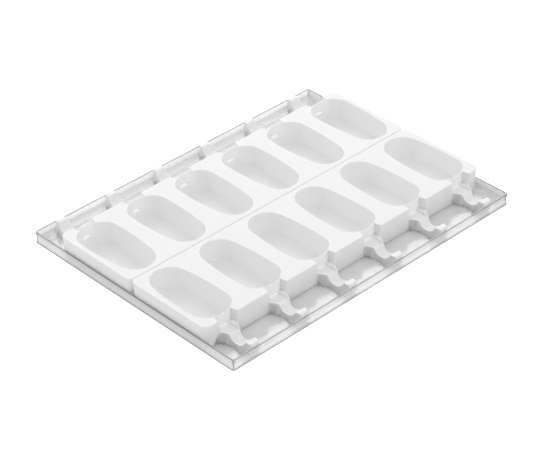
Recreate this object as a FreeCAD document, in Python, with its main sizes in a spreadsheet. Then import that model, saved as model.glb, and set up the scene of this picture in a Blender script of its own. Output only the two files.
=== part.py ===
import FreeCAD, Part
import math
import os

# Ice pop mould set: two white silicone moulds with six cavities each, back to back in a clear shallow tray.
# Millimetres. X runs along the length, Y across, Z up from the table. The seam between the moulds is at y = 0.

document = FreeCAD.newDocument("ice_pop_mould_set")
sheet = document.addObject("Spreadsheet::Sheet", "sizes")

# Each row is an alias, its value and what it is.
rows = (
    ("tray_length", 400.0, "tray over its lip, along X"),
    ("tray_width", 300.0, "tray over its lip, along Y"),
    ("tray_height", 12.6, "table to the top of the lip"),
    ("tray_floor", 2.0, "thickness of the tray floor"),
    ("tray_wall", 1.4, "wall between lip and floor"),
    ("tray_inner_corner", 5.0, "hollow rounding where floor meets wall"),
    ("tray_outer_corner", 3.0, "upright corner of the tray"),
    ("lip_reach", 0.9, "how far the lip stands out of the wall"),
    ("lip_height", 2.0, "upright edge of the lip"),
    ("lip_slope", 2.0, "height of the slope under the lip"),
    ("mould_height", 26.0, "mould from the tray floor to its deck"),
    ("seam_half_gap", 0.3, "mould face to the middle of the seam"),
    ("deck_half_length", 198.7, "mould at its deck, along X"),
    ("base_half_length", 196.7, "mould at its base, along X"),
    ("lobe_front", 109.5, "front of the lobes, from the seam"),
    ("seam_corner", 6.5, "upright corner next to the seam"),
    ("front_corner", 8.0, "upright corner at the stick side"),
    ("end_rounding", 5.6, "rounding under each end, clear of the tray corner"),
    ("pitch", 67.5, "cavity to cavity"),
    ("cavity_count", 6, "cavities in one mould"),
    ("cavity_start", 5.5, "round end of a cavity, from the seam"),
    ("cavity_length", 97.5, "cavity along Y at the deck"),
    ("cavity_half_width", 24.3, "widest half of a cavity at the deck"),
    ("cavity_widest", 62.0, "where the widest place is, from the round end"),
    ("cavity_side_radius", 294.0, "bulge of the long sides"),
    ("cavity_end_radius", 27.0, "bulge of the stick end"),
    ("cavity_corner", 16.0, "corners of the stick end"),
    ("cavity_depth", 24.5, "deck to the cavity floor"),
    ("cavity_draft", 4.0, "degrees that the cavity wall leans"),
    ("cavity_floor_radius", 3.0, "rounding round the cavity floor"),
    ("cup_wall", 3.0, "silicone round a cavity, seen from below"),
    ("deck_thickness", 3.0, "silicone under the deck between cavities"),
    ("seam_wall", 8.0, "inner face of the wall along the seam, from the seam"),
    ("recess_wall", 1.0, "thin curved wall between a cavity and the gap behind it"),
    ("recess_inner_half", 10.9, "half of the gap between two lobes at that wall"),
    ("recess_outer_half", 12.9, "half of the gap at the front of the lobes"),
    ("lobe_corner", 1.2, "upright front corners of a lobe"),
    ("root_half_width", 16.5, "solid left under the stick bridge"),
    ("foot_start", 99.0, "inner end of a foot, inside the block"),
    ("bridge_height", 13.0, "top of the stick bridge above the tray floor"),
    ("bridge_front", 118.7, "front edge of the bridge"),
    ("bridge_edge", 1.3, "rounding of that edge"),
    ("stick_width", 12.0, "width of the stick slot and channel"),
    ("stick_height", 2.5, "height of the stick slot"),
    ("channel_depth", 1.5, "depth of the channel along the bridge"),
    ("root_base", 15.5, "half width of a foot at the lobes, on the tray floor"),
    ("root_upper", 13.2, "the same at the height of the bridge"),
    ("hollow_middle", 113.1, "middle of the foot's hollow root, from the seam"),
    ("hollow_base", 11.7, "half width there, on the tray floor"),
    ("hollow_upper", 10.2, "the same at the height of the bridge"),
    ("neck", 117.8, "end of the hollow root"),
    ("neck_base", 9.9, "half width there, on the tray floor"),
    ("neck_upper", 7.8, "the same at the height of the bridge"),
    ("waist", 124.6, "narrowest place of a foot"),
    ("waist_base", 7.1, "half width there, on the tray floor"),
    ("waist_upper", 4.8, "the same at the height of the bridge, if the foot were that high there"),
    ("toe", 133.0, "where a foot has its full width again"),
    ("toe_base", 8.5, "half width there, on the tray floor"),
    ("toe_upper", 6.2, "the same at the height of the bridge"),
    ("foot_corner", 4.5, "upright outer corners of the foot"),
    ("foot_end", 147.0, "outer face of the foot"),
    ("valley_step", 121.3, "where the step down from the bridge ends"),
    ("valley_step_height", 7.6, "height there above the tray floor"),
    ("valley_low", 127.0, "where the finger valley is lowest"),
    ("valley_height", 5.0, "lowest place of the valley above the tray floor"),
    ("tab_start", 140.4, "inner edge of the rest at the end of the foot"),
    ("tab_height", 14.2, "top of that rest above the tray floor"),
    ("tab_edge", 1.2, "rounding of the inner and outer edge of the rest"),
    ("foot_toe", 5.0, "rounding under the outer end of the foot"),
)
for number, (alias, value, meaning) in enumerate(rows, start=1):
    sheet.set("A%d" % number, alias)
    sheet.set("B%d" % number, str(value))
    sheet.set("C%d" % number, meaning)
    sheet.setAlias("B%d" % number, alias)
document.recompute()


def size(alias):
    return float(sheet.get(alias))


def point(x, y):
    return FreeCAD.Vector(x, y, 0)


def plane_of(body, role):
    for feature in body.Origin.OriginFeatures:
        if feature.Role == role:
            return feature


def new_sketch(body, name, role, height=None):
    """A sketch on one of the body's planes, lifted along its normal by a sheet expression."""
    sketch = body.newObject("Sketcher::SketchObject", name)
    sketch.AttachmentSupport = [(plane_of(body, role), "")]
    sketch.MapMode = "FlatFace"
    if height:
        sketch.setExpression("AttachmentOffset.Base.z", height)
    return sketch


def add_curves(sketch, curves, shift=0.0):
    """Add lines (two points) and arcs (three points) to a sketch, moved along X by shift."""
    for curve in curves:
        moved = [point(x + shift, y) for x, y in curve]
        if len(moved) == 2:
            sketch.addGeometry(Part.LineSegment(moved[0], moved[1]), False)
        else:
            sketch.addGeometry(Part.Arc(moved[0], moved[1], moved[2]), False)


def rounded_outline(corners):
    """Lines and arcs through corners given as (x, y, radius); radius 0 leaves a corner sharp."""
    ends = []
    for index, (x, y, radius) in enumerate(corners):
        before = corners[index - 1]
        after = corners[(index + 1) % len(corners)]
        to_before = point(before[0] - x, before[1] - y).normalize()
        to_after = point(after[0] - x, after[1] - y).normalize()
        if radius == 0:
            ends.append(((x, y), None, (x, y)))
            continue
        half_angle = to_before.getAngle(to_after) / 2
        reach = radius / math.tan(half_angle)
        bisector = (to_before + to_after).normalize()
        middle = radius / math.sin(half_angle) - radius
        ends.append((
            (x + to_before.x * reach, y + to_before.y * reach),
            (x + bisector.x * middle, y + bisector.y * middle),
            (x + to_after.x * reach, y + to_after.y * reach),
        ))
    curves = []
    for index, (start, middle, end) in enumerate(ends):
        if middle:
            curves.append((start, middle, end))
        following = ends[(index + 1) % len(ends)][0]
        if math.dist(end, following) > 1e-6:
            curves.append((end, following))
    return curves


def cavity_outline(outset):
    """Plan of one cavity at the deck, centred on x = 0 and grown by outset: a round end towards the seam,
    gently bulging sides and a flatter, rounded end towards the stick. All arcs run smoothly into each other."""
    half_width = size("cavity_half_width")
    side_radius = size("cavity_side_radius")
    widest = size("cavity_widest")
    length = size("cavity_length")
    corner = size("cavity_corner")
    end_radius = size("cavity_end_radius")
    side_centre = (half_width - side_radius, widest)
    # The round end touches both side arcs from the inside.
    across = side_radius - half_width
    round_radius = (side_radius ** 2 - across ** 2 - widest ** 2) / (2 * (side_radius - widest))
    round_centre = (0.0, round_radius)
    end_centre = (0.0, length - end_radius)
    # The corner arc touches the side arc and the end arc from the inside.
    reach_side = side_radius - corner
    reach_end = end_radius - corner
    apart = math.dist(side_centre, end_centre)
    along = (reach_side ** 2 - reach_end ** 2 + apart ** 2) / (2 * apart)
    height = math.sqrt(reach_side ** 2 - along ** 2)
    ux = (end_centre[0] - side_centre[0]) / apart
    uy = (end_centre[1] - side_centre[1]) / apart
    corner_centre = (side_centre[0] + along * ux - height * uy, side_centre[1] + along * uy + height * ux)

    def on_circle(centre, radius, toward):
        distance = math.dist(centre, toward)
        scale = (radius + outset) / distance
        return (centre[0] + (toward[0] - centre[0]) * scale, centre[1] + (toward[1] - centre[1]) * scale)

    def away(centre, origin):
        return (2 * centre[0] - origin[0], 2 * centre[1] - origin[1])

    round_side = on_circle(round_centre, round_radius, away(round_centre, side_centre))
    side_corner = on_circle(corner_centre, corner, away(corner_centre, side_centre))
    corner_end = on_circle(corner_centre, corner, away(corner_centre, end_centre))
    side_middle = on_circle(side_centre, side_radius, (half_width, widest))
    corner_middle = on_circle(corner_centre, corner, (
        side_corner[0] + corner_end[0] - corner_centre[0],
        side_corner[1] + corner_end[1] - corner_centre[1],
    ))

    def flip(place):
        return (-place[0], place[1])

    start = size("cavity_start")
    curves = (
        (flip(round_side), (0.0, -outset), round_side),
        (round_side, side_middle, side_corner),
        (side_corner, corner_middle, corner_end),
        (corner_end, (0.0, length + outset), flip(corner_end)),
        (flip(corner_end), flip(corner_middle), flip(side_corner)),
        (flip(side_corner), flip(side_middle), flip(round_side)),
    )
    return [[(x, y + start) for x, y in curve] for curve in curves]


def circle_through(arc):
    """Centre and radius of the circle through the three points of an arc."""
    circle = Part.Arc(point(*arc[0]), point(*arc[1]), point(*arc[2])).toShape().Curve
    return (circle.Center.x, circle.Center.y), circle.Radius


def cavity_places():
    count = int(size("cavity_count"))
    return [(index - (count - 1) / 2) * size("pitch") for index in range(count)]


def edges_where(feature, test):
    """Names of the edges of a feature whose middle point and edge pass the test."""
    names = []
    for index, edge in enumerate(feature.Shape.Edges, start=1):
        middle = edge.valueAt(edge.getParameterByLength(edge.Length / 2))
        if test(edge, middle):
            names.append("Edge%d" % index)
    return names


def round_edges(body, name, base, alias, test):
    document.recompute()
    names = edges_where(base, test)
    if not names:
        raise RuntimeError("no edges found for " + name)
    fillet = body.newObject("PartDesign::Fillet", name)
    fillet.Base = (base, names)
    fillet.setExpression("Radius", "sizes." + alias)
    document.recompute()
    return fillet


def pad(body, name, sketch, length, backwards=False, taper=None):
    feature = body.newObject("PartDesign::Pad", name)
    feature.Profile = sketch
    feature.setExpression("Length", length)
    feature.Reversed = backwards
    if taper:
        feature.setExpression("TaperAngle", taper)
    return feature


def pocket(body, name, sketch, length, backwards=False, taper=None, middle=False):
    feature = body.newObject("PartDesign::Pocket", name)
    feature.Profile = sketch
    feature.setExpression("Length", length)
    feature.Reversed = backwards
    feature.Midplane = middle
    if taper:
        feature.setExpression("TaperAngle", taper)
    return feature


def build_tray():
    """The clear tray: flat floor, low upright walls with a hollow rounding at their foot, and a small lip."""
    body = document.addObject("PartDesign::Body", "tray")
    half_length = size("tray_length") / 2
    half_width = size("tray_width") / 2
    reach = size("lip_reach")
    corner = size("tray_outer_corner")

    def rectangle(inset, radius):
        x = half_length - inset
        y = half_width - inset
        return rounded_outline([(-x, -y, radius), (x, -y, radius), (x, y, radius), (-x, y, radius)])

    shell_sketch = new_sketch(body, "tray_outline", "XY_Plane")
    add_curves(shell_sketch, rectangle(reach, corner - reach))
    pad(body, "tray_block", shell_sketch, "sizes.tray_height")

    slope_low = new_sketch(body, "lip_slope_start", "XY_Plane", "sizes.tray_height - sizes.lip_height - sizes.lip_slope")
    add_curves(slope_low, rectangle(reach, corner - reach))
    slope_high = new_sketch(body, "lip_slope_end", "XY_Plane", "sizes.tray_height - sizes.lip_height")
    add_curves(slope_high, rectangle(0, corner))
    slope = body.newObject("PartDesign::AdditiveLoft", "lip_underside")
    slope.Profile = slope_low
    slope.Sections = [slope_high]
    slope.Ruled = True

    lip_sketch = new_sketch(body, "lip_outline", "XY_Plane", "sizes.tray_height - sizes.lip_height")
    add_curves(lip_sketch, rectangle(0, corner))
    pad(body, "lip", lip_sketch, "sizes.lip_height")

    inner_sketch = new_sketch(body, "tray_inside", "XY_Plane", "sizes.tray_height")
    add_curves(inner_sketch, rectangle(reach + size("tray_wall"), 0))
    inside = pocket(body, "tray_hollow", inner_sketch, "sizes.tray_height - sizes.tray_floor")

    floor_level = size("tray_floor")
    floor_edge = round_edges(body, "tray_floor_rounding", inside, "tray_inner_corner",
                             lambda edge, middle: abs(middle.z - floor_level) < 0.01)
    body.Tip = floor_edge
    return body


def lobe_block(body):
    """The block that the cavities lie in, narrower at its base along X."""
    seam = size("seam_half_gap")
    front = size("lobe_front")

    def outline(half_length):
        return rounded_outline([
            (-half_length, seam, size("seam_corner")),
            (half_length, seam, size("seam_corner")),
            (half_length, front, size("front_corner")),
            (-half_length, front, size("front_corner")),
        ])

    base_sketch = new_sketch(body, "base_outline", "XY_Plane")
    add_curves(base_sketch, outline(size("base_half_length")))
    deck_sketch = new_sketch(body, "deck_outline", "XY_Plane", "sizes.mould_height")
    add_curves(deck_sketch, outline(size("deck_half_length")))
    block = body.newObject("PartDesign::AdditiveLoft", "lobe_block")
    block.Profile = base_sketch
    block.Sections = [deck_sketch]
    block.Ruled = True
    return block


def underside_hollows(body):
    """The spaces under the deck between two cavities, open below. Each keeps a thin wall round both cavities,
    along the seam and along the lobes, and leaves a solid root under the two stick bridges beside it."""
    centres = cavity_places()
    grown = size("cup_wall") - size("mould_height") * math.tan(math.radians(size("cavity_draft")))
    arcs = cavity_outline(grown)
    round_end, side, corner = arcs[0], arcs[1], arcs[2]
    back = size("seam_wall")
    front = size("lobe_front") - size("cup_wall")
    root = size("root_half_width")
    round_centre, round_radius = circle_through(round_end)
    corner_centre, corner_radius = circle_through(corner)
    start_x = math.sqrt(round_radius ** 2 - (round_centre[1] - back) ** 2)
    start_angle = math.atan2(back - round_centre[1], start_x)
    end_angle = math.atan2(round_end[2][1] - round_centre[1], round_end[2][0])
    middle_angle = (start_angle + end_angle) / 2
    start_middle = (round_radius * math.cos(middle_angle), round_centre[1] + round_radius * math.sin(middle_angle))
    root_y = corner_centre[1] + math.sqrt(corner_radius ** 2 - (root - corner_centre[0]) ** 2)
    first = math.atan2(corner[0][1] - corner_centre[1], corner[0][0] - corner_centre[0])
    last = math.atan2(root_y - corner_centre[1], root - corner_centre[0])
    halfway = (first + last) / 2
    corner_middle = (corner_centre[0] + corner_radius * math.cos(halfway),
                     corner_centre[1] + corner_radius * math.sin(halfway))
    beside = (
        ((start_x, back), start_middle, round_end[2]),
        side,
        (side[2], corner_middle, (root, root_y)),
        ((root, root_y), (root, front)),
    )
    pitch = size("pitch")
    sketch = new_sketch(body, "underside_outlines", "XY_Plane")
    for centre in centres[:-1]:
        add_curves(sketch, beside, centre)
        add_curves(sketch, [((root, front), (pitch - root, front))], centre)
        add_curves(sketch, [[(-x, y) for x, y in curve] for curve in beside], centre + pitch)
        add_curves(sketch, [((pitch - start_x, back), (start_x, back))], centre)
    return pocket(body, "underside_hollows", sketch, "sizes.mould_height - sizes.deck_thickness",
                  backwards=True, taper="-sizes.cavity_draft")


def foot_outline(height):
    """Plan of one foot at a height above the tray floor: hollow roots at the lobes, a waist, straight sides and
    rounded outer corners. Each half width runs straight from its base to its upper value."""
    rise = height / size("bridge_height")

    def half(place):
        return size(place + "_base") + (size(place + "_upper") - size(place + "_base")) * rise

    start = size("foot_start")
    front = size("lobe_front")
    neck = size("neck")
    toe = size("toe")
    corner = size("foot_corner")
    end = size("foot_end") + 0.6
    side_x = half("toe")
    corner_x = side_x - corner
    slope = corner * math.sqrt(0.5)
    beside = (
        ((half("root"), start), (half("root"), front)),
        ((half("root"), front), (half("hollow"), size("hollow_middle")), (half("neck"), neck)),
        ((half("neck"), neck), (half("waist"), size("waist")), (side_x, toe)),
        ((side_x, toe), (side_x, end - corner)),
        ((side_x, end - corner), (corner_x + slope, end - corner + slope), (corner_x, end)),
    )
    mirrored = [[(-x, y) for x, y in curve] for curve in reversed(beside)]
    inner_end = ((-half("root"), start), (half("root"), start))
    outer_end = ((corner_x, end), (-corner_x, end))
    return [inner_end, *beside, outer_end, *mirrored]


def feet(body):
    """A waisted foot in front of each cavity, narrower at its top, before its side profile is cut."""
    base_sketch = new_sketch(body, "foot_base_outlines", "XY_Plane")
    top_sketch = new_sketch(body, "foot_top_outlines", "XY_Plane", "sizes.tab_height + 2")
    for centre in cavity_places():
        add_curves(base_sketch, foot_outline(0.0), centre)
        add_curves(top_sketch, foot_outline(size("tab_height") + 2), centre)
    row = body.newObject("PartDesign::AdditiveLoft", "feet")
    row.Profile = base_sketch
    row.Sections = [top_sketch]
    row.Ruled = True
    return row


def foot_profile_cut(body):
    """Cuts all feet to their side profile: bridge, step down, hollow valley, raised rest, outer face and toe."""
    inner = size("lobe_front") + 0.9
    bridge = size("bridge_height")
    bridge_end = size("bridge_front")
    bridge_edge = size("bridge_edge")
    step = size("valley_step")
    step_height = size("valley_step_height")
    low = size("valley_low")
    valley = size("valley_height")
    tab = size("tab_start")
    tab_top = size("tab_height")
    edge = size("tab_edge")
    end = size("foot_end")
    under = size("foot_toe")
    above = tab_top + 5.0
    beyond = end + 10.0
    slope = math.sqrt(0.5)
    curves = (
        ((inner, bridge), (bridge_end - bridge_edge, bridge)),
        ((bridge_end - bridge_edge, bridge), (bridge_end - 0.35, bridge - 0.5), (bridge_end + 0.2, bridge - 1.5)),
        ((bridge_end + 0.2, bridge - 1.5), (step, step_height)),
        ((step, step_height), (step + 2.2, valley + 0.75), (low, valley)),
        ((low, valley), (low + 7.6, valley + 2.4), (tab - 0.3, tab_top - edge)),
        ((tab - 0.3, tab_top - edge), (tab + edge * 0.2, tab_top - edge * 0.25), (tab + edge, tab_top)),
        ((tab + edge, tab_top), (end - edge, tab_top)),
        ((end - edge, tab_top), (end - edge + edge * slope, tab_top - edge + edge * slope), (end, tab_top - edge)),
        ((end, tab_top - edge), (end, under)),
        ((end, under), (end - under + under * slope, under - under * slope), (end - under, 0.0)),
        ((end - under, 0.0), (end - under, -5.0)),
        ((end - under, -5.0), (beyond, -5.0)),
        ((beyond, -5.0), (beyond, above)),
        ((beyond, above), (inner, above)),
        ((inner, above), (inner, bridge)),
    )
    sketch = new_sketch(body, "foot_side_profile", "YZ_Plane")
    add_curves(sketch, curves)
    return pocket(body, "foot_profile", sketch, "2 * sizes.deck_half_length + 20", middle=True)


def recess_back():
    """Centre and radius of the outer face of the thin wall behind a cavity, parallel to the cavity's end."""
    end_radius = size("cavity_end_radius")
    return size("cavity_start") + size("cavity_length") - end_radius, end_radius + size("recess_wall")


def recesses(body):
    """The gap between two lobes behind each bridge, from the deck down to the bridge: curved at its back, wider
    towards the front."""
    inner = size("recess_inner_half")
    outer = size("recess_outer_half")
    front = size("lobe_front")
    corner = size("lobe_corner")
    outside = front + 1.2
    centre_y, radius = recess_back()
    back = centre_y + math.sqrt(radius ** 2 - inner ** 2)
    # The flared side runs into the front corner, which is rounded.
    side = point(outer - inner, front - back).normalize()
    reach = corner * math.tan((math.pi / 2 - math.atan2(side.x, side.y)) / 2)
    begin = (outer - side.x * reach, front - side.y * reach)
    bend = (outer + reach * 0.29, front - reach * 0.29)
    beside = (
        ((inner, back), begin),
        (begin, bend, (outer + reach, front)),
        ((outer + reach, front), (outer + reach, outside)),
    )
    sketch = new_sketch(body, "recess_outlines", "XY_Plane", "sizes.mould_height")
    for centre in cavity_places():
        add_curves(sketch, beside, centre)
        add_curves(sketch, [[(-x, y) for x, y in curve] for curve in beside], centre)
        add_curves(sketch, [((-inner, back), (0.0, centre_y + radius), (inner, back))], centre)
        add_curves(sketch, [((-outer - reach, outside), (outer + reach, outside))], centre)
    return pocket(body, "recesses", sketch, "sizes.mould_height - sizes.bridge_height")


def stick_ways(body):
    """The slot through the wall behind each cavity and the shallow channel along the bridge, in one cut."""
    half = size("stick_width") / 2
    start = size("cavity_start") + size("cavity_length") - 4.0
    end = size("bridge_front") + 4.0
    outline = rounded_outline([(-half, start, 0), (half, start, 0), (half, end, 0), (-half, end, 0)])
    sketch = new_sketch(body, "stick_way_outlines", "XY_Plane", "sizes.bridge_height - sizes.channel_depth")
    for centre in cavity_places():
        add_curves(sketch, outline, centre)
    return pocket(body, "stick_ways", sketch, "sizes.stick_height", backwards=True)


def end_roundings(body):
    """Takes the corner off under both ends, where the mould sits in the hollow rounding of the tray."""
    base = size("base_half_length")
    radius = size("end_rounding")
    slope = radius * (1 - math.sqrt(0.5))
    lean = (size("deck_half_length") - base) / size("mould_height") * radius
    sketch = new_sketch(body, "end_rounding_profile", "XZ_Plane")
    for side in (-1, 1):
        curves = (
            ((side * (base + lean), radius), (side * (base - slope), slope), (side * (base - radius), 0.0)),
            ((side * (base - radius), 0.0), (side * (base - radius), -4.0)),
            ((side * (base - radius), -4.0), (side * (base + 8.0), -4.0)),
            ((side * (base + 8.0), -4.0), (side * (base + 8.0), radius)),
            ((side * (base + 8.0), radius), (side * (base + lean), radius)),
        )
        add_curves(sketch, curves)
    return pocket(body, "end_rounding", sketch, "2 * sizes.lobe_front + 20", middle=True)


def build_mould(name, turn):
    """One silicone mould. It is drawn on the +Y side of the seam and turned about Z to its own side."""
    body = document.addObject("PartDesign::Body", name)
    feet(body)
    foot_profile_cut(body)
    lobe_block(body)
    underside_hollows(body)
    recesses(body)
    stick_ways(body)
    end_roundings(body)

    cavity_sketch = new_sketch(body, "cavity_outlines", "XY_Plane", "sizes.mould_height")
    for centre in cavity_places():
        add_curves(cavity_sketch, cavity_outline(0.0), centre)
    cavity = pocket(body, "cavities", cavity_sketch, "sizes.cavity_depth", taper="-sizes.cavity_draft")
    floor_level = size("mould_height") - size("cavity_depth")
    rounded = round_edges(body, "cavity_floor_rounding", cavity, "cavity_floor_radius",
                          lambda edge, middle: abs(middle.z - floor_level) < 0.01)
    body.Tip = rounded
    body.Placement.Rotation = FreeCAD.Rotation(FreeCAD.Vector(0, 0, 1), turn)
    body.setExpression("Placement.Base.z", "sizes.tray_floor")
    return body


bodies = [build_tray(), build_mould("rear_mould", 0), build_mould("front_mould", 180)]
document.recompute()

for item in document.Objects:
    if any(state in ("Invalid", "Error") for state in item.State):
        raise RuntimeError("%s did not build: %s" % (item.Name, item.State))
for body in bodies:
    if body.Shape.isNull() or not body.Shape.isValid():
        raise RuntimeError(body.Label + " has no valid shape")

os.makedirs("parts", exist_ok=True)
for body in bodies:
    body.Shape.exportStep(os.path.join("parts", body.Label + ".step"))
    box = body.Shape.BoundBox
    print(body.Label, "solids", len(body.Shape.Solids), "volume cm3 %.1f" % (body.Shape.Volume / 1000),
          "x %.2f..%.2f y %.2f..%.2f z %.2f..%.2f" % (box.XMin, box.XMax, box.YMin, box.YMax, box.ZMin, box.ZMax))
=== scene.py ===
import math
import bpy
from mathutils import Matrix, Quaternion, Vector


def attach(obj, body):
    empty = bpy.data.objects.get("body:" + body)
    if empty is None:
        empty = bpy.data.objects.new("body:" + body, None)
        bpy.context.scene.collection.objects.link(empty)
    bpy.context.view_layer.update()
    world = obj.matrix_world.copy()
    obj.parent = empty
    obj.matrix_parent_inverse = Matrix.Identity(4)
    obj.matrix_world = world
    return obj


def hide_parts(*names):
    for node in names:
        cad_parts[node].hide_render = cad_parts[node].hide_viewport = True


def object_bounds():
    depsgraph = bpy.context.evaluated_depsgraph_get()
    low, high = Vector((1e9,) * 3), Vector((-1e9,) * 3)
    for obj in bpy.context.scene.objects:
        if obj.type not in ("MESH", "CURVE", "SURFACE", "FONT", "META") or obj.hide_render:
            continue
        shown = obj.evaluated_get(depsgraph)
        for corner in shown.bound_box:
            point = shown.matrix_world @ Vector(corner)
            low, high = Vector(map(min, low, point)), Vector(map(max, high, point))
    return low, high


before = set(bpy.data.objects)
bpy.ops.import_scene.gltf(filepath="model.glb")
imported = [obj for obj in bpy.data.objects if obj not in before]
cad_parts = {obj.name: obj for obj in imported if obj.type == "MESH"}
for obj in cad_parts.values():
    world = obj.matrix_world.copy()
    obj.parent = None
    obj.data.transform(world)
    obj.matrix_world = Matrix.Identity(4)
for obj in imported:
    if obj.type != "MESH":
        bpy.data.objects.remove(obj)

# lengths are in metres, angles in degrees and powers in watts
cadLow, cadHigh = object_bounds()
halfLength, halfWidth = cadHigh[0], cadHigh[1]
print("frame loaded:", sorted(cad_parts))


# Small helpers for objects and edit mode

def deselectAll():
    if bpy.context.object and bpy.context.object.mode != "OBJECT":
        bpy.ops.object.mode_set(mode="OBJECT")
    bpy.ops.object.select_all(action="DESELECT")


def makeActive(piece):
    deselectAll()
    piece.select_set(True)
    bpy.context.view_layer.objects.active = piece


def copyNode(nodeName, pieceName):
    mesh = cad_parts[nodeName].data.copy()
    mesh.name = pieceName
    mesh.materials.clear()
    piece = bpy.data.objects.new(pieceName, mesh)
    bpy.context.scene.collection.objects.link(piece)
    return piece


def weldTriangles(piece, distance):
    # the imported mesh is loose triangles, so their corners are merged
    makeActive(piece)
    bpy.ops.object.mode_set(mode="EDIT")
    bpy.ops.mesh.select_mode(type="FACE")
    bpy.ops.mesh.select_all(action="SELECT")
    bpy.ops.mesh.remove_doubles(threshold=distance)
    bpy.ops.object.mode_set(mode="OBJECT")


def weighOuterEdges(piece, sharpAngle, lowestEdge):
    # sharp edges that stick out get a weight, except those that lie wholly below the lowest height
    mesh = piece.data
    edgeFaces = {}
    for face in mesh.polygons:
        for key in face.edge_keys:
            edgeFaces.setdefault(key, []).append(face)
    weights = mesh.attributes.new("bevel_weight_edge", "FLOAT", "EDGE")
    limit = math.cos(math.radians(sharpAngle))
    for edge in mesh.edges:
        faces = edgeFaces.get(edge.key, [])
        if len(faces) != 2:
            continue
        if max(mesh.vertices[index].co.z for index in edge.vertices) < lowestEdge:
            continue
        first, second = faces
        bent = first.normal.dot(second.normal) < limit
        outer = (second.center - first.center).dot(first.normal) < 0.0
        weights.data[edge.index].value = 1.0 if bent and outer else 0.0


def softenEdges(piece, values):
    makeActive(piece)
    weighOuterEdges(piece, values["sharpAngle"], values["lowestEdge"])
    bevel = piece.modifiers.new("edgeRounding", "BEVEL")
    bevel.width = values["edgeWidth"]
    bevel.segments = values["edgeSegments"]
    bevel.limit_method = "WEIGHT"
    bevel.use_clamp_overlap = False
    bevel.loop_slide = False
    bevel.miter_outer = "MITER_ARC"
    bpy.ops.object.modifier_apply(modifier=bevel.name)
    bpy.ops.object.shade_smooth_by_angle(angle=math.radians(values["smoothAngle"]))
    weighted = piece.modifiers.new("flatFaces", "WEIGHTED_NORMAL")
    weighted.mode = "FACE_AREA"
    weighted.weight = values["flatWeight"]
    weighted.keep_sharp = True
    bpy.ops.object.modifier_apply(modifier=weighted.name)


# Small helpers for shader nodes

def feed(tree, socket, value):
    # the output of another node is linked, a number or a colour is set
    if isinstance(value, bpy.types.NodeSocket):
        tree.links.new(value, socket)
    else:
        socket.default_value = value


def mathNode(tree, operation, *numbers):
    node = tree.nodes.new("ShaderNodeMath")
    node.operation = operation
    for socket, number in zip(node.inputs, numbers):
        feed(tree, socket, number)
    return node.outputs[0]


def softStep(tree, value, limit, softness):
    # 0 below the limit, 1 where the value is more than the softness above it
    share = mathNode(tree, "DIVIDE", mathNode(tree, "SUBTRACT", value, limit), softness)
    return mathNode(tree, "MINIMUM", mathNode(tree, "MAXIMUM", share, 0.0), 1.0)


def rangeNode(tree, value, fromLow, fromHigh, toLow, toHigh):
    node = tree.nodes.new("ShaderNodeMapRange")
    feed(tree, node.inputs["Value"], value)
    feed(tree, node.inputs["From Min"], fromLow)
    feed(tree, node.inputs["From Max"], fromHigh)
    feed(tree, node.inputs["To Min"], toLow)
    feed(tree, node.inputs["To Max"], toHigh)
    return node.outputs["Result"]


def mixNode(tree, kind, mask, first, second):
    node = tree.nodes.new("ShaderNodeMix")
    node.data_type = kind
    feed(tree, node.inputs["Factor"], mask)
    feed(tree, node.inputs["A"], first)
    feed(tree, node.inputs["B"], second)
    return node.outputs["Result"]


def splitVector(tree, kind):
    # x, y and z of one kind of coordinates, such as Object or Normal
    coordinates = tree.nodes.new("ShaderNodeTexCoord")
    parts = tree.nodes.new("ShaderNodeSeparateXYZ")
    tree.links.new(coordinates.outputs[kind], parts.inputs[0])
    return parts.outputs


def seenRays(tree):
    # 1 for what the camera sees, also through the tray and in mirror images, and 0 for other light
    path = tree.nodes.new("ShaderNodeLightPath")
    seen = mathNode(tree, "MAXIMUM", path.outputs["Is Camera Ray"], path.outputs["Is Transmission Ray"])
    return mathNode(tree, "MAXIMUM", seen, path.outputs["Is Glossy Ray"])


def newMaterial(name):
    material = bpy.data.materials.new(name)
    material.use_nodes = True
    shader = material.node_tree.nodes["Principled BSDF"]
    return material, material.node_tree, shader


# Node groups

def newGroup(name, inputs, outputs):
    # everything that goes in or comes out is a plain value
    group = bpy.data.node_groups.new(name, "ShaderNodeTree")
    for label, value in inputs.items():
        socket = group.interface.new_socket(name=label, in_out="INPUT", socket_type="NodeSocketFloat")
        socket.default_value = value
    for label in outputs:
        group.interface.new_socket(name=label, in_out="OUTPUT", socket_type="NodeSocketFloat")
    source = group.nodes.new("NodeGroupInput")
    sink = group.nodes.new("NodeGroupOutput")
    return group, source.outputs, sink.inputs


def placeGroup(tree, group):
    node = tree.nodes.new("ShaderNodeGroup")
    node.node_tree = group
    return node


grainValues = {
    "Grain Scale": 900.0,
    "Grain Detail": 3.0,
    "Grain Roughness": 0.6,
    "Cloud Scale": 14.0,
    "Cloud Detail": 2.0,
}


def buildMouldGrain():
    # fine satin grain with slow, faint unevenness, both as values round 0.5
    group, given, result = newGroup("mouldGrain", grainValues, ["Grain", "Clouds"])
    coordinates = group.nodes.new("ShaderNodeTexCoord")
    fine = group.nodes.new("ShaderNodeTexNoise")
    slow = group.nodes.new("ShaderNodeTexNoise")
    group.links.new(coordinates.outputs["Object"], fine.inputs["Vector"])
    group.links.new(coordinates.outputs["Object"], slow.inputs["Vector"])
    group.links.new(given["Grain Scale"], fine.inputs["Scale"])
    group.links.new(given["Grain Detail"], fine.inputs["Detail"])
    group.links.new(given["Grain Roughness"], fine.inputs["Roughness"])
    group.links.new(given["Cloud Scale"], slow.inputs["Scale"])
    group.links.new(given["Cloud Detail"], slow.inputs["Detail"])
    group.links.new(fine.outputs["Fac"], result["Grain"])
    group.links.new(slow.outputs["Fac"], result["Clouds"])
    return group


mouldGrain = buildMouldGrain()


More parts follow.
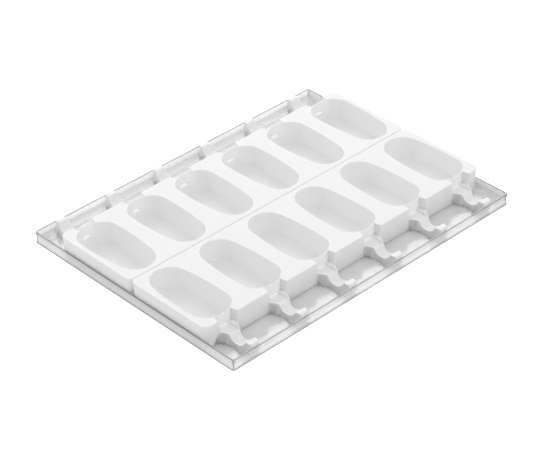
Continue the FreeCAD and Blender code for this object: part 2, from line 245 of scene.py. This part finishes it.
def placeGrain(tree, values):
    grain = placeGroup(tree, mouldGrain)
    grain.inputs["Grain Scale"].default_value = values["grainScale"]
    grain.inputs["Cloud Scale"].default_value = values["cloudScale"]
    return grain.outputs["Grain"], grain.outputs["Clouds"]


noiseRange = (0.3, 0.7)


def spreadNoise(tree, noise, low, high):
    # noise stays near its middle, so this part of it is stretched
    return rangeNode(tree, noise, *noiseRange, low, high)


def addBump(tree, shader, height, strength, distance):
    bump = tree.nodes.new("ShaderNodeBump")
    bump.inputs["Strength"].default_value = strength
    bump.inputs["Distance"].default_value = distance
    tree.links.new(height, bump.inputs["Height"])
    tree.links.new(bump.outputs["Normal"], shader.inputs["Normal"])


trayEdgeShadeValues = {
    "Half Length": halfLength,
    "Half Width": halfWidth,
    "Side Depth": 0.004,  # how far in from the outline a point still counts as left, front or rear
    "Rim Foot": 0.0117,  # where the rim of the lip starts
    "Rim Reach": 0.0016,  # how far in from the outline the rim is dark
    "Far Extra": 0.0006,  # added to it on the far sides
    "Strip Top": 0.0004,
    "Strip Reach": 0.0045,
    "Corner Reach": 0.0036,
    "Near Corner": 0.0013,  # taken off at the corner towards the camera
    "Softness": 0.0003,
    "Left Share": 0.75,
    "Front Share": 0.7,
    "Far Share": 0.85,
    "Strip Share": 0.8,
    "Corner Share": 0.75,
}


def buildTrayEdgeShade():
    # Painted shade: Edge is above 0 where the rim of the lip, the lowest strip of the outer wall and the
    # upright corners get a dark colour, with a share for each side. Rear is 1 on the rear wall, which gets
    # a painted shade too.
    group, given, result = newGroup("trayEdgeShade", trayEdgeShadeValues, ["Edge", "Rear"])

    def calc(operation, *numbers):
        return mathNode(group, operation, *numbers)

    def above(value, limit):
        return softStep(group, value, limit, given["Softness"])

    x, y, z = splitVector(group, "Object")
    beyondX = calc("SUBTRACT", calc("ABSOLUTE", x), given["Half Length"])
    beyondY = calc("SUBTRACT", calc("ABSOLUTE", y), given["Half Width"])
    beyond = calc("MAXIMUM", beyondX, beyondY)
    leftLimit = calc("SUBTRACT", given["Half Length"], given["Side Depth"])
    frontLimit = calc("SUBTRACT", given["Half Width"], given["Side Depth"])
    onLeft = above(calc("MULTIPLY", x, -1.0), leftLimit)
    onFront = above(calc("MULTIPLY", y, -1.0), frontLimit)
    onNear = calc("MAXIMUM", onLeft, onFront)
    elsewhere = calc("SUBTRACT", 1.0, onNear)
    left = calc("MULTIPLY", onLeft, given["Left Share"])
    front = calc("MULTIPLY", onFront, given["Front Share"])
    near = calc("MAXIMUM", left, front)
    far = calc("MULTIPLY", elsewhere, given["Far Share"])
    # the rim of the lip, wider on the far sides
    farExtra = calc("MULTIPLY", elsewhere, given["Far Extra"])
    rimStart = calc("MULTIPLY", calc("ADD", given["Rim Reach"], farExtra), -1.0)
    onRim = calc("MULTIPLY", above(beyond, rimStart), above(z, given["Rim Foot"]))
    rim = calc("MULTIPLY", onRim, calc("MAXIMUM", near, far))
    # the lowest strip, on the near sides only
    stripStart = calc("MULTIPLY", given["Strip Reach"], -1.0)
    onStrip = calc("MULTIPLY", above(beyond, stripStart), above(given["Strip Top"], z))
    strip = calc("MULTIPLY", onStrip, calc("MULTIPLY", near, given["Strip Share"]))
    # the upright corners: the one towards the camera gets a narrower line and the far one gets none
    nearCorner = calc("MULTIPLY", calc("MULTIPLY", onLeft, onFront), given["Near Corner"])
    cornerStart = calc("SUBTRACT", nearCorner, given["Corner Reach"])
    inCorner = calc("MULTIPLY", above(beyondX, cornerStart), above(beyondY, cornerStart))
    onWall = calc("MULTIPLY", inCorner, above(given["Rim Foot"], z))
    corner = calc("MULTIPLY", calc("MULTIPLY", onWall, onNear), given["Corner Share"])
    group.links.new(calc("MAXIMUM", calc("MAXIMUM", rim, strip), corner), result["Edge"])
    group.links.new(above(y, frontLimit), result["Rear"])
    return group


trayEdgeShade = buildTrayEdgeShade()


footShadeValues = {
    "Foot Start": 0.1098,  # distances from the seam
    "Recess Start": 0.1,
    "Recess Share": 0.5,
    "Mould End": 0.19,
    "Frontal Start": 0.8,  # limits of the normal's y and z
    "Frontal End": 0.95,
    "Level Start": 0.3,
    "Level End": 0.6,
    "Softness": 0.0006,
}


def buildFootShade():
    # painted shade: 1 on the upright side faces of the front mould's feet, a share on those of its
    # recesses, 0 elsewhere
    group, given, result = newGroup("footShade", footShadeValues, ["Side"])
    place = splitVector(group, "Object")
    facing = splitVector(group, "Normal")
    facingY = mathNode(group, "ABSOLUTE", facing["Y"])
    facingZ = mathNode(group, "ABSOLUTE", facing["Z"])
    notFrontal = rangeNode(group, facingY, given["Frontal Start"], given["Frontal End"], 1.0, 0.0)
    notLevel = rangeNode(group, facingZ, given["Level Start"], given["Level End"], 1.0, 0.0)
    sideways = mathNode(group, "MULTIPLY", notFrontal, notLevel)
    reach = mathNode(group, "MULTIPLY", place["Y"], -1.0)
    foot = softStep(group, reach, given["Foot Start"], given["Softness"])
    recess = softStep(group, reach, given["Recess Start"], given["Softness"])
    recess = mathNode(group, "MULTIPLY", recess, given["Recess Share"])
    # the end faces of the mould are left out
    inner = mathNode(group, "LESS_THAN", mathNode(group, "ABSOLUTE", place["X"]), given["Mould End"])
    area = mathNode(group, "MULTIPLY", mathNode(group, "MAXIMUM", foot, recess), inner)
    group.links.new(mathNode(group, "MULTIPLY", area, sideways), result["Side"])
    return group


footShade = buildFootShade()


# White silicone

siliconeValues = {
    "lightColor": (0.955, 0.955, 0.95, 1.0),
    "darkColor": (0.935, 0.935, 0.932, 1.0),
    # painted shade for the side faces of the front mould's feet
    "sideShadeColor": (0.72, 0.72, 0.725, 1.0),
    "refraction": 1.41,
    "roughLow": 0.42,
    "roughHigh": 0.56,
    "grainScale": 1400.0,
    "cloudScale": 16.0,
    "grainStrength": 0.12,
    "grainDistance": 0.00005,
    "glowWeight": 0.5,
    "glowRadius": (1.0, 1.0, 0.97),
    "glowReach": 0.002,
}


def makeSilicone():
    values = siliconeValues
    material, tree, shader = newMaterial("whiteSilicone")
    grain, clouds = placeGrain(tree, values)
    shift = spreadNoise(tree, clouds, 0.0, 1.0)
    color = mixNode(tree, "RGBA", shift, values["darkColor"], values["lightColor"])
    # painted shade: the side faces of the front mould's feet, and less so those of its recesses, get a
    # greyer colour
    sides = placeGroup(tree, footShade)
    color = mixNode(tree, "RGBA", sides.outputs["Side"], color, values["sideShadeColor"])
    tree.links.new(color, shader.inputs["Base Color"])
    rough = spreadNoise(tree, grain, values["roughLow"], values["roughHigh"])
    tree.links.new(rough, shader.inputs["Roughness"])
    addBump(tree, shader, grain, values["grainStrength"], values["grainDistance"])
    shader.inputs["IOR"].default_value = values["refraction"]
    shader.inputs["Subsurface Weight"].default_value = values["glowWeight"]
    shader.inputs["Subsurface Radius"].default_value = values["glowRadius"]
    shader.inputs["Subsurface Scale"].default_value = values["glowReach"]
    return material


# Clear tray plastic

plasticValues = {
    "wallColor": (0.98, 0.98, 0.98, 1.0),
    # painted shade: the tray's floor is greyer than its walls
    "floorShadeColor": (0.82, 0.82, 0.82, 1.0),
    # painted shade on the rear wall
    "rearShadeColor": (0.75, 0.75, 0.75, 1.0),
    # painted shade on rims, corners and faces seen edge-on
    "edgeShadeColor": (0.1, 0.1, 0.1, 1.0),
    "colorVariation": 0.05,
    "wallAlpha": 0.34,
    "floorAlpha": 0.36,
    "levelStart": 0.3,  # from wall to floor, by the normal's z
    "levelEnd": 0.7,
    "endAlpha": 0.33,
    "edgeAlpha": 0.9,
    "alphaVariation": 0.05,
    "turnStart": 0.78,  # how far the surface turns away from the eye
    "turnEnd": 0.97,
    "turnShare": 0.6,
    "floorTop": 0.0022,  # just above the inner floor of the tray
    "floorBlend": 0.001,
    "floorRefraction": 2.1,
    "wallRefraction": 1.35,
    "roughLow": 0.02,
    "roughHigh": 0.05,
    "grainScale": 300.0,
    "cloudScale": 9.0,
}


def makeTrayPlastic():
    values = plasticValues
    material, tree, shader = newMaterial("clearTrayPlastic")
    grain, clouds = placeGrain(tree, values)
    facing = splitVector(tree, "Normal")
    # painted shade: the floor of the tray gets a greyer colour than its walls, and it looks more solid
    # than they do
    level = mathNode(tree, "ABSOLUTE", facing["Z"])
    shift = spreadNoise(tree, clouds, -values["colorVariation"], values["colorVariation"])
    share = mathNode(tree, "ADD", level, shift)
    color = mixNode(tree, "RGBA", share, values["wallColor"], values["floorShadeColor"])
    alpha = rangeNode(tree, level, values["levelStart"], values["levelEnd"],
                      values["wallAlpha"], values["floorAlpha"])
    # painted shade: the rear wall gets a greyer colour, for how it looks with the white ground right
    # behind it
    edges = placeGroup(tree, trayEdgeShade)
    color = mixNode(tree, "RGBA", edges.outputs["Rear"], color, values["rearShadeColor"])
    # the two end walls look more solid than the long ones
    ends = mathNode(tree, "ABSOLUTE", facing["X"])
    alpha = mathNode(tree, "MULTIPLY_ADD", ends, values["endAlpha"], alpha)
    shift = spreadNoise(tree, clouds, -values["alphaVariation"], values["alphaVariation"])
    alpha = mathNode(tree, "ADD", alpha, shift)
    # painted shade: rims and corners get a dark colour, and so do the faces the eye looks along
    along = tree.nodes.new("ShaderNodeLayerWeight")
    turned = rangeNode(tree, along.outputs["Facing"], values["turnStart"], values["turnEnd"],
                       0.0, values["turnShare"])
    edge = mathNode(tree, "MAXIMUM", edges.outputs["Edge"], turned)
    color = mixNode(tree, "RGBA", edge, color, values["edgeShadeColor"])
    alpha = mixNode(tree, "FLOAT", edge, alpha, values["edgeAlpha"])
    tree.links.new(color, shader.inputs["Base Color"])
    tree.links.new(alpha, shader.inputs["Alpha"])
    rough = spreadNoise(tree, grain, values["roughLow"], values["roughHigh"])
    tree.links.new(rough, shader.inputs["Roughness"])
    # the wide floor mirrors more than what lies above it
    height = splitVector(tree, "Object")["Z"]
    refraction = rangeNode(tree, height, values["floorTop"], values["floorTop"] + values["floorBlend"],
                           values["floorRefraction"], values["wallRefraction"])
    tree.links.new(refraction, shader.inputs["IOR"])
    return material


silicone = makeSilicone()
trayPlastic = makeTrayPlastic()
print("materials made")


# The two silicone moulds

mouldValues = {
    "nodes": {"front_mould": "frontSilicone", "rear_mould": "rearSilicone"},
    "weldDistance": 0.00002,
    "edgeWidth": 0.0004,
    "edgeSegments": 3,
    "lowestEdge": 0.003,  # edges that stand on the tray stay sharp
    "sharpAngle": 28.0,
    "smoothAngle": 40.0,
    "flatWeight": 80,
}


def makeMoulds():
    values = mouldValues
    for nodeName, pieceName in values["nodes"].items():
        piece = copyNode(nodeName, pieceName)
        weldTriangles(piece, values["weldDistance"])
        softenEdges(piece, values)
        piece.data.materials.append(silicone)
        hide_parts(nodeName)
        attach(piece, "root")
        print("mould made:", pieceName, len(piece.data.polygons), "faces")


makeMoulds()


# The clear tray

trayValues = {
    "weldDistance": 0.00002,
    "edgeWidth": 0.00025,
    "edgeSegments": 3,
    "lowestEdge": -1.0,  # no edge is left out
    "sharpAngle": 28.0,
    "smoothAngle": 40.0,
    "flatWeight": 80,
}


def makeTray():
    values = trayValues
    piece = copyNode("tray", "clearTray")
    weldTriangles(piece, values["weldDistance"])
    softenEdges(piece, values)
    piece.data.materials.append(trayPlastic)
    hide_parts("tray")
    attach(piece, "root")
    print("tray made:", len(piece.data.polygons), "faces")


makeTray()


# Floor, lights and camera

floorValues = {
    "size": 12.0,
    "height": -0.0002,  # just below the foot of the tray
    "color": (0.9, 0.9, 0.9, 1.0),
    "lift": 0.6,
    "liftUnderTray": 0.22,
    "liftStart": -0.012,  # from the outline of the tray, inwards below 0
    "liftEnd": -0.004,
    "farShift": 0.014,  # moves both outwards on the right and at the rear
    "shadeColor": (0.1, 0.1, 0.1, 1.0),
    "shadeStrength": 0.9,
    "shadeMiddle": 0.0003,  # from the foot of the tray outwards
    "shadeFull": 0.0003,  # from the middle of the shade to where it starts to fade
    "shadeReach": 0.0007,
    "shadeSide": 0.005,
    "lipReach": 0.0009,  # how far the lip stands out over the foot of the tray
    "cornerRadius": 0.0022,
}


def makeFloor():
    values = floorValues
    deselectAll()
    bpy.ops.mesh.primitive_plane_add(size=values["size"], location=(0.0, 0.0, values["height"]))
    floor = bpy.context.object
    floor.name = "studioFloor"
    material, tree, shader = newMaterial("studioWhite")
    shader.inputs["Roughness"].default_value = 1.0
    shader.inputs["Specular IOR Level"].default_value = 0.0

    def calc(operation, *numbers):
        return mathNode(tree, operation, *numbers)

    place = splitVector(tree, "Object")
    x, y = place["X"], place["Y"]
    # the lift makes the ground white where it is seen, and less so under the tray:
    # it grows just inside the left and the front side and just outside the other two
    beyondLeft = calc("SUBTRACT", calc("MULTIPLY", x, -1.0), halfLength)
    beyondFront = calc("SUBTRACT", calc("MULTIPLY", y, -1.0), halfWidth)
    beyondRight = calc("SUBTRACT", x, halfLength + values["farShift"])
    beyondRear = calc("SUBTRACT", y, halfWidth + values["farShift"])
    near = calc("MAXIMUM", beyondLeft, beyondFront)
    far = calc("MAXIMUM", beyondRight, beyondRear)
    outside = rangeNode(tree, calc("MAXIMUM", near, far), values["liftStart"], values["liftEnd"],
                        values["liftUnderTray"], values["lift"])
    # a thin shade along the left and the front foot of the tray
    inset = values["lipReach"] + values["cornerRadius"]
    borderX = calc("SUBTRACT", calc("ABSOLUTE", x), halfLength - inset)
    borderY = calc("SUBTRACT", calc("ABSOLUTE", y), halfWidth - inset)
    corner = tree.nodes.new("ShaderNodeCombineXYZ")
    tree.links.new(calc("MAXIMUM", borderX, 0.0), corner.inputs["X"])
    tree.links.new(calc("MAXIMUM", borderY, 0.0), corner.inputs["Y"])
    rounded = tree.nodes.new("ShaderNodeVectorMath")
    rounded.operation = "LENGTH"
    tree.links.new(corner.outputs[0], rounded.inputs[0])
    inner = calc("MINIMUM", calc("MAXIMUM", borderX, borderY), 0.0)
    reach = calc("ADD", rounded.outputs["Value"], inner)
    border = calc("SUBTRACT", reach, values["cornerRadius"] + values["shadeMiddle"])
    fade = rangeNode(tree, calc("ABSOLUTE", border), values["shadeFull"], values["shadeReach"],
                     values["shadeStrength"], 0.0)
    onLeft = calc("LESS_THAN", x, values["shadeSide"] - halfLength)
    onFront = calc("LESS_THAN", y, values["shadeSide"] - halfWidth)
    shade = calc("MULTIPLY", fade, calc("MAXIMUM", onLeft, onFront))
    color = mixNode(tree, "RGBA", shade, values["color"], values["shadeColor"])
    tree.links.new(color, shader.inputs["Base Color"])
    lift = tree.nodes.new("ShaderNodeEmission")
    lifted = calc("MULTIPLY", seenRays(tree), outside)
    tree.links.new(calc("MULTIPLY", lifted, calc("SUBTRACT", 1.0, shade)), lift.inputs["Strength"])
    both = tree.nodes.new("ShaderNodeAddShader")
    tree.links.new(shader.outputs[0], both.inputs[0])
    tree.links.new(lift.outputs[0], both.inputs[1])
    tree.links.new(both.outputs[0], tree.nodes["Material Output"].inputs["Surface"])
    floor.data.materials.append(material)


lightValues = {
    "horizonStrength": 0.62,
    "zenithStrength": 0.78,
    "seenStrength": 1.0,
    "lamps": {
        "keyLamp": {"place": (1.19, 1.47, 1.48), "size": 1.3, "power": 13.5},
        "fillLamp": {"place": (0.2, -2.4, 1.2), "size": 1.6, "power": 6.5},
        "sideLamp": {"place": (-1.5, 1.5, 1.2), "size": 1.0, "power": 3.5},
    },
}


def addLamp(name, place, size, power):
    # a square lamp that points at the origin
    lamp = bpy.data.lights.new(name, "AREA")
    lamp.shape = "SQUARE"
    lamp.size = size
    lamp.energy = power
    holder = bpy.data.objects.new(name, lamp)
    holder.location = place
    holder.rotation_euler = (-Vector(place)).to_track_quat("-Z", "Y").to_euler()
    bpy.context.scene.collection.objects.link(holder)


def makeLights():
    values = lightValues
    for name, lamp in values["lamps"].items():
        addLamp(name, lamp["place"], lamp["size"], lamp["power"])
    world = bpy.data.worlds.new("studioWorld")
    world.use_nodes = True
    bpy.context.scene.world = world
    tree = world.node_tree
    background = tree.nodes["Background"]
    background.inputs["Color"].default_value = (1.0, 1.0, 1.0, 1.0)
    # the light of the sky is stronger overhead than at the horizon, and where it is seen it is plain white
    height = splitVector(tree, "Generated")["Z"]
    sky = rangeNode(tree, height, 0.0, 1.0, values["horizonStrength"], values["zenithStrength"])
    strength = rangeNode(tree, seenRays(tree), 0.0, 1.0, sky, values["seenStrength"])
    tree.links.new(strength, background.inputs["Strength"])


# fitted to the corners of the tray in the photograph
cameraValues = {
    "place": (-1.2725, -1.3240, 1.2927),
    "target": (-0.0064, -0.0003, 0.0),
    "rollDegrees": -0.63,
    "lens": 142.77,
    "sensorWidth": 36.0,
    "clipStart": 0.05,
    "clipEnd": 50.0,
}


def makeCamera():
    values = cameraValues
    camera = bpy.data.cameras.new("productCamera")
    camera.lens = values["lens"]
    camera.sensor_width = values["sensorWidth"]
    camera.clip_start = values["clipStart"]
    camera.clip_end = values["clipEnd"]
    holder = bpy.data.objects.new("productCamera", camera)
    place = Vector(values["place"])
    holder.location = place
    aim = (Vector(values["target"]) - place).to_track_quat("-Z", "Y")
    holder.rotation_mode = "QUATERNION"
    holder.rotation_quaternion = aim @ Quaternion((0.0, 0.0, 1.0), math.radians(values["rollDegrees"]))
    bpy.context.scene.collection.objects.link(holder)
    bpy.context.scene.camera = holder


makeFloor()
makeLights()
makeCamera()
bpy.context.scene.view_settings.view_transform = "Standard"
print("stage made")
